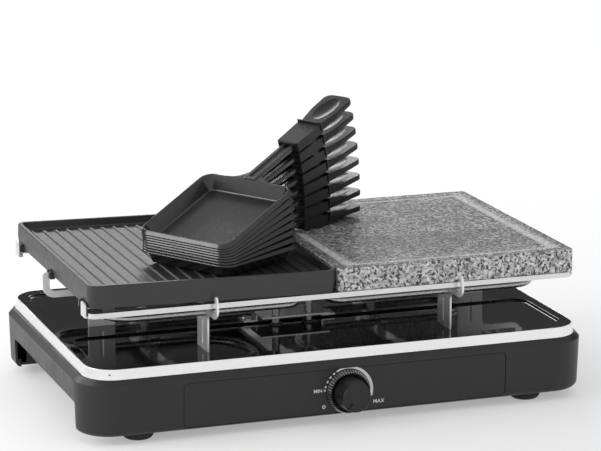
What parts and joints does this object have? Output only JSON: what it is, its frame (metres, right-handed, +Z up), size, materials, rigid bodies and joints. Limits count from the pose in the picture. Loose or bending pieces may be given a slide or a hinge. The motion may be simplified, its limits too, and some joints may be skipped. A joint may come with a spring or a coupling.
{
  "type": "raclette grill",
  "caption": "Countertop raclette grill: ribbed half plate and granite half over a tubular heater, nested pans with handles, knob thermostat.",
  "frame": {"origin": "on the standing surface, below the centre of the moulded base", "axes": "+X to the right, +Y to the back, +Z up; the knob faces -Y"},
  "size_m": [0.4404, 0.2912, 0.2344],
  "materials": {
    "black_plastic": "fine-grained moulded plastic",
    "brushed_band": "stainless band, finely brushed along its length",
    "black_enamel": "glossy black enamel",
    "rubber": "matte",
    "screw_steel": "plated steel",
    "bright_steel": "polished steel sheet",
    "heater_steel": "dark heater tube",
    "insulator": "unglazed",
    "dark_insulator": "unglazed, dark",
    "pale_plastic": "satin",
    "lead_sleeve": "silicone sleeve",
    "knob_plastic": "satin",
    "bright_ring": "bright turned, knurled edge",
    "coated_cast": "cast, dark satin non-stick coat",
    "granite": "honed grey granite",
    "coated_sheet": "pressed steel with a dark satin non-stick coat",
    "handle_plastic": "satin"
  },
  "bodies": {
    "base": {"base_housing": "black_plastic", "control_panel": "black_plastic", "trim_band": "brushed_band", "deck_tray": "black_enamel", "bottom_cover": "black_plastic", "rubber_feet": "rubber", "foot_screws": "screw_steel", "cover_screws": "screw_steel", "panel_screws": "screw_steel", "cord_inlet": "rubber", "plate_carrier": "bright_steel", "front_leg_left": "bright_steel", "front_leg_right": "bright_steel", "rear_leg_left": "bright_steel", "rear_leg_right": "bright_steel", "end_leg_left": "bright_steel", "end_leg_right": "bright_steel", "leg_rivets": "bright_steel", "heating_element": "heater_steel", "element_terminals": "screw_steel", "element_collars": "dark_insulator", "element_clips": "screw_steel", "element_mount_plate": "bright_steel", "mount_plate_screws": "screw_steel", "thermostat_body": "insulator", "thermostat_bracket": "screw_steel", "thermostat_screws": "screw_steel", "thermal_fuse": "insulator", "fuse_clip": "screw_steel", "terminal_block": "pale_plastic", "terminal_block_screws": "screw_steel", "internal_leads": "lead_sleeve", "earth_screw": "screw_steel"},
    "knob": {"knob": "knob_plastic", "knob_ring": "bright_ring", "thermostat_shaft": "screw_steel", "knob_clip": "screw_steel"},
    "grill_plate": {"grill_plate": "coated_cast"},
    "stone_plate": {"stone_plate": "granite"},
    "pan_1": {"pan_1": "coated_sheet", "pan_1_handle": "handle_plastic"},
    "pan_2": {"pan_2": "coated_sheet", "pan_2_handle": "handle_plastic"},
    "pan_3": {"pan_3": "coated_sheet", "pan_3_handle": "handle_plastic"},
    "pan_4": {"pan_4": "coated_sheet", "pan_4_handle": "handle_plastic"},
    "pan_5": {"pan_5": "coated_sheet", "pan_5_handle": "handle_plastic"},
    "pan_6": {"pan_6": "coated_sheet", "pan_6_handle": "handle_plastic"},
    "pan_7": {"pan_7": "coated_sheet", "pan_7_handle": "handle_plastic"},
    "pan_8": {"pan_8": "coated_sheet", "pan_8_handle": "handle_plastic"}
  },
  "joints": [
    {"name": "knob_turn", "type": "hinge", "parent": "base", "child": "knob", "pos_m": [0.003, -0.14, 0.027], "axis": [0, 1, 0], "range_deg": [0, 240]},
    {"name": "grill_plate_lift", "type": "slide", "parent": "base", "child": "grill_plate", "axis": [0, 0, 1], "range_m": [0, 0.06]},
    {"name": "stone_lift", "type": "slide", "parent": "base", "child": "stone_plate", "axis": [0, 0, 1], "range_m": [0, 0.06]},
    {"name": "pan_1_lift", "type": "slide", "parent": "grill_plate", "child": "pan_1", "axis": [0, 0, 1], "range_m": [0, 0.06]},
    {"name": "pan_2_lift", "type": "slide", "parent": "pan_1", "child": "pan_2", "axis": [-0.0241, -0.0288, 0.9993], "range_m": [0, 0.03]},
    {"name": "pan_3_lift", "type": "slide", "parent": "pan_2", "child": "pan_3", "axis": [-0.0673, -0.0576, 0.9961], "range_m": [0, 0.03]},
    {"name": "pan_4_lift", "type": "slide", "parent": "pan_3", "child": "pan_4", "axis": [-0.1103, -0.0862, 0.9902], "range_m": [0, 0.03]},
    {"name": "pan_5_lift", "type": "slide", "parent": "pan_4", "child": "pan_5", "axis": [-0.153, -0.1146, 0.9816], "range_m": [0, 0.03]},
    {"name": "pan_6_lift", "type": "slide", "parent": "pan_5", "child": "pan_6", "axis": [-0.1953, -0.1427, 0.9703], "range_m": [0, 0.03]},
    {"name": "pan_7_lift", "type": "slide", "parent": "pan_6", "child": "pan_7", "axis": [-0.2371, -0.1704, 0.9564], "range_m": [0, 0.03]},
    {"name": "pan_8_lift", "type": "slide", "parent": "pan_7", "child": "pan_8", "axis": [-0.2783, -0.1976, 0.94], "range_m": [0, 0.03]}
  ],
  "couplings": [
    {"joint": "pan_1_lift", "follows": "stone_lift", "ratio": 1}
  ]
}
